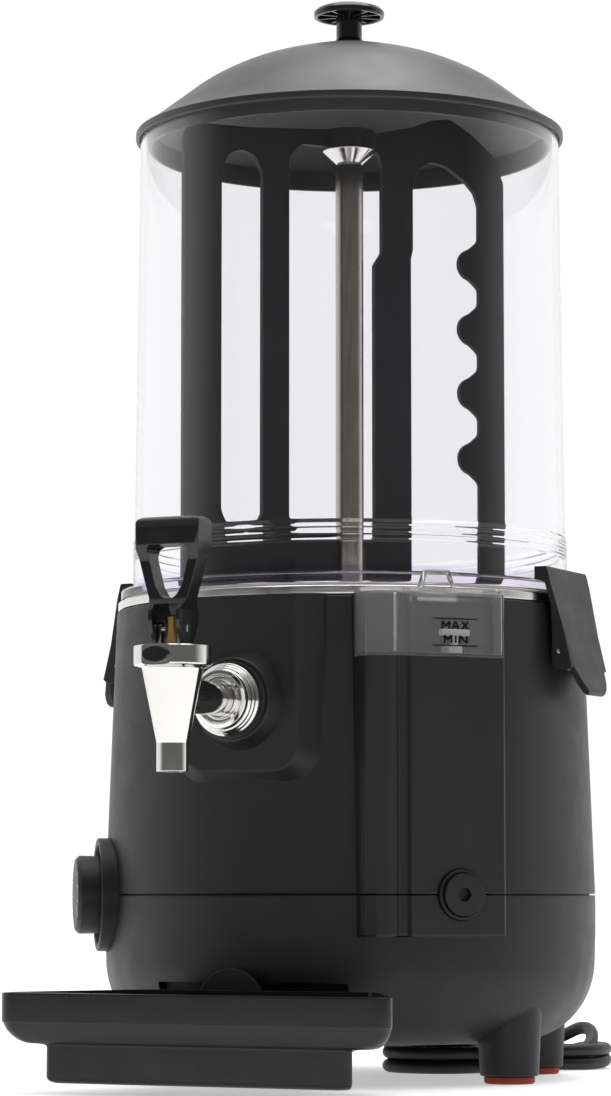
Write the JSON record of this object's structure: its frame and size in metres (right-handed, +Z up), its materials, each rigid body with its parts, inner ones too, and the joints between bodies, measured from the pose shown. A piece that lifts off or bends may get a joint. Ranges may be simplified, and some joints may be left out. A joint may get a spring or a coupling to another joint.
{
  "type": "hot chocolate dispenser",
  "caption": "Heated drink dispenser with a clear container, stirrer, domed lid, lever tap, drip tray, level window, side clamps and mains lead.",
  "frame": {"origin": "on the floor under the middle of the machine's box, measured without the mains lead", "axes": "+Z up, -Y toward the front where the tap is, +X to the right as seen from the front"},
  "size_m": [0.283, 0.4214, 0.5786],
  "materials": {
    "black_plastic": "satin moulded",
    "gloss_black": "gloss",
    "black_rubber": "matt",
    "foot_rubber": "matt red-orange",
    "stainless": "polished",
    "chrome": "polished",
    "brass": "turned",
    "clear_plastic": "clear",
    "white_plastic": "matt",
    "silicone": "matt",
    "zinc_steel": "zinc plated"
  },
  "bodies": {
    "base": {"lower_housing": "black_plastic", "upper_housing": "black_plastic", "foot_pad_1": "foot_rubber", "foot_pad_2": "foot_rubber", "foot_pad_3": "foot_rubber", "foot_pad_4": "foot_rubber", "gauge_tank": "clear_plastic", "drain_boss": "black_plastic", "drain_plug": "gloss_black", "drain_pipe": "silicone", "control_bezel": "black_plastic", "thermostat": "zinc_steel", "switch_frame": "gloss_black", "bowl": "stainless", "water_jacket": "stainless", "heater_ring": "zinc_steel", "container_seal": "silicone", "container": "clear_plastic", "centre_tube": "stainless", "gear_motor": "zinc_steel", "motor_bracket": "zinc_steel", "tap_shank": "chrome", "tap_washer": "black_rubber", "tap_nut": "chrome", "tap_body": "chrome", "tap_cap": "gloss_black", "tap_pin": "chrome", "latch_pin_right": "chrome", "latch_pin_left": "chrome", "tray_bracket": "black_plastic", "power_cord": "black_rubber", "cord_hank": "black_rubber", "cord_tail": "black_rubber", "plug": "black_rubber", "cord_gland": "black_rubber"},
    "lid": {"lid": "black_plastic", "lid_knob": "gloss_black", "lid_screw": "zinc_steel"},
    "stirrer": {"stirrer": "black_plastic", "drive_shaft": "stainless", "shaft_nut": "stainless"},
    "control_knob": {"control_knob": "black_plastic", "thermostat_shaft": "zinc_steel"},
    "power_switch": {"power_switch": "gloss_black"},
    "tap_handle": {"tap_handle": "gloss_black"},
    "tap_stem": {"tap_stem": "brass", "tap_seal": "silicone"},
    "latch_right": {"latch_right": "black_plastic"},
    "latch_left": {"latch_left": "black_plastic"},
    "gauge_lid": {"gauge_lid": "clear_plastic"},
    "gauge_float": {"gauge_float": "white_plastic"},
    "drip_tray": {"drip_tray": "gloss_black"},
    "drip_grid": {"drip_grid": "gloss_black"}
  },
  "joints": [
    {"name": "lid_lift", "type": "slide", "parent": "base", "child": "lid", "axis": [0, 0, 1], "range_m": [0, 0.06]},
    {"name": "stirrer_spin", "type": "hinge", "parent": "base", "child": "stirrer", "pos_m": [0, 0.046, 0.35], "axis": [0, 0, 1], "continuous": true},
    {"name": "thermostat_turn", "type": "hinge", "parent": "base", "child": "control_knob", "pos_m": [-0.11607, -0.03229, 0.096], "axis": [0.829, 0.5592, 0], "range_deg": [0, 270]},
    {"name": "switch_rock", "type": "hinge", "parent": "base", "child": "power_switch", "pos_m": [-0.12171, 0.07861, 0.15], "axis": [0.2588, 0.9659, 0], "range_deg": [0, 12]},
    {"name": "tap_lever", "type": "hinge", "parent": "base", "child": "tap_handle", "pos_m": [0, -0.157, 0.2243], "axis": [1, 0, 0], "range_deg": [0, 45], "stiffness_Nm_per_rad": 0.25, "springref_deg": -20.05},
    {"name": "tap_stem_rise", "type": "slide", "parent": "base", "child": "tap_stem", "axis": [0, 0, 1], "range_m": [0, 0.004]},
    {"name": "latch_right_open", "type": "hinge", "parent": "base", "child": "latch_right", "pos_m": [0.1292, 0.046, 0.2205], "axis": [0, 1, 0], "range_deg": [0, 20]},
    {"name": "latch_left_open", "type": "hinge", "parent": "base", "child": "latch_left", "pos_m": [-0.1292, 0.046, 0.2205], "axis": [0, -1, 0], "range_deg": [0, 20]},
    {"name": "gauge_lid_lift", "type": "slide", "parent": "base", "child": "gauge_lid", "axis": [0, 0, 1], "range_m": [0, 0.02]},
    {"name": "float_rise", "type": "slide", "parent": "base", "child": "gauge_float", "axis": [0, 0, 1], "range_m": [0, 0.012]},
    {"name": "tray_lift", "type": "slide", "parent": "base", "child": "drip_tray", "axis": [0, 0, 1], "range_m": [0, 0.012]},
    {"name": "grid_lift", "type": "slide", "parent": "drip_tray", "child": "drip_grid", "axis": [0, 0, 1], "range_m": [0, 0.03]}
  ],
  "couplings": [
    {"joint": "tap_stem_rise", "follows": "tap_lever", "m_per_rad": 0.005}
  ]
}
